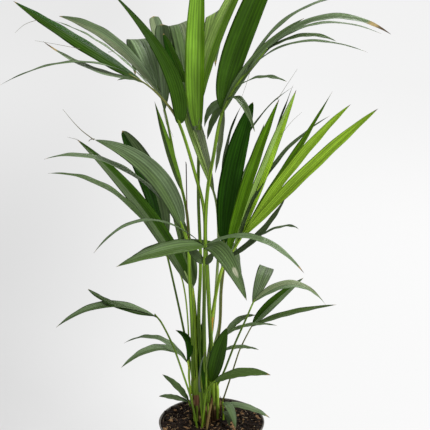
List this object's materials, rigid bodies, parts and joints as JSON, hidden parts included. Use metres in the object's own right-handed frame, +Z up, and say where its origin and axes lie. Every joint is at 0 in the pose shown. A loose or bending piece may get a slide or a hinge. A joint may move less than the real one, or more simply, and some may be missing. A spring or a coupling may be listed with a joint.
{
  "type": "kentia palm",
  "caption": "Potted kentia palm: a clump of slender stalks with arching feathered fronds, rising from short sheathed trunks in a round nursery pot.",
  "frame": {"origin": "centre of the pot's flat underside", "axes": "+Z up along the pot's axis, -Y the plant's front, +X its right side"},
  "size_m": [0.5204, 0.3916, 0.9303],
  "materials": {
    "pot": "satin moulded plastic",
    "soil": "loose moist compost with bark chips",
    "trunk": "smooth green sheaths with dry brown margins",
    "stalk": "smooth waxy green",
    "dead": "dry and fibrous",
    "leaf_bright": "satin leaf with fine parallel veins",
    "leaf_green": "satin leaf with fine parallel veins",
    "leaf_dark": "satin leaf with fine parallel veins",
    "leaf_grey": "dull waxy leaf underside"
  },
  "bodies": {
    "root": {"pot": "pot", "soil": "soil", "trunk_left": "trunk", "trunk_front": "trunk", "trunk_right": "trunk", "trunk_back": "trunk", "stalk_upper_left": "stalk", "frond_upper_left": "leaf_green", "stalk_back_left": "stalk", "frond_back_left": "leaf_grey", "stalk_back": "stalk", "frond_back": "leaf_grey", "stalk_centre": "stalk", "frond_centre": "leaf_bright", "stalk_upper_right": "stalk", "frond_upper_right": "leaf_dark", "stalk_middle_left": "stalk", "frond_middle_left": "leaf_green", "stalk_shaded_left": "stalk", "frond_shaded_left": "leaf_dark", "stalk_inner_left": "stalk", "frond_inner_left": "leaf_dark", "stalk_lowest_left": "stalk", "frond_lowest_left": "leaf_dark", "stalk_middle_right": "stalk", "frond_middle_right": "leaf_bright", "stalk_broad_right": "stalk", "frond_broad_right": "leaf_dark", "stalk_rear": "stalk", "frond_rear": "leaf_green", "stalk_front": "stalk", "frond_front": "leaf_green", "stalk_low_left": "stalk", "frond_low_left": "leaf_green", "stalk_small_left": "stalk", "frond_small_left": "leaf_green", "stalk_low_right": "stalk", "frond_low_right": "leaf_grey", "stalk_thin_right": "stalk", "frond_thin_right": "leaf_dark", "stalk_low_front": "stalk", "frond_low_front": "leaf_dark", "stalk_low_single": "stalk", "frond_low_single": "leaf_green", "sprout_left": "leaf_green", "sprout_right": "leaf_grey", "dried_stalk": "dead", "cut_stub": "dead", "spear_leaf": "leaf_grey"}
  },
  "joints": []
}
